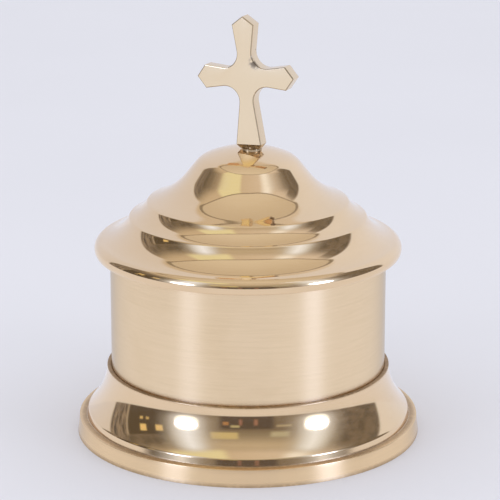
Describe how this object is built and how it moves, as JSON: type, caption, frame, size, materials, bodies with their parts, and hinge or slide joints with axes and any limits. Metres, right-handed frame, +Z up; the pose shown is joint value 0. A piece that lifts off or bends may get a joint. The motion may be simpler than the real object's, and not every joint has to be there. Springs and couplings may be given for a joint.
{
  "type": "pyx",
  "caption": "Standing brass pyx: a straight round vessel on a flared foot, with a lift-off tiered domed lid that carries a cross.",
  "frame": {"origin": "centre of the ring that the foot stands on", "axes": "+Z up along the turned axis, X along the cross's arms, the cross faces -Y"},
  "size_m": [0.1, 0.1, 0.1232],
  "materials": {
    "polished_brass": "mirror polished",
    "satin_brass": "satin turned",
    "plain_brass": "plain turned",
    "fixing_brass": "machined"
  },
  "bodies": {
    "vessel": {"foot": "polished_brass", "body_tube": "satin_brass", "cup_floor": "plain_brass", "cup_stud": "fixing_brass", "foot_washer": "fixing_brass", "foot_nut": "fixing_brass"},
    "lid": {"lid_shell": "polished_brass", "lid_bezel": "plain_brass", "cross": "polished_brass", "cross_stud": "fixing_brass", "cross_washer": "fixing_brass", "cross_nut": "fixing_brass"}
  },
  "joints": [
    {"name": "lid_lift", "type": "slide", "parent": "vessel", "child": "lid", "axis": [0, 0, 1], "range_m": [0, 0.06]}
  ]
}
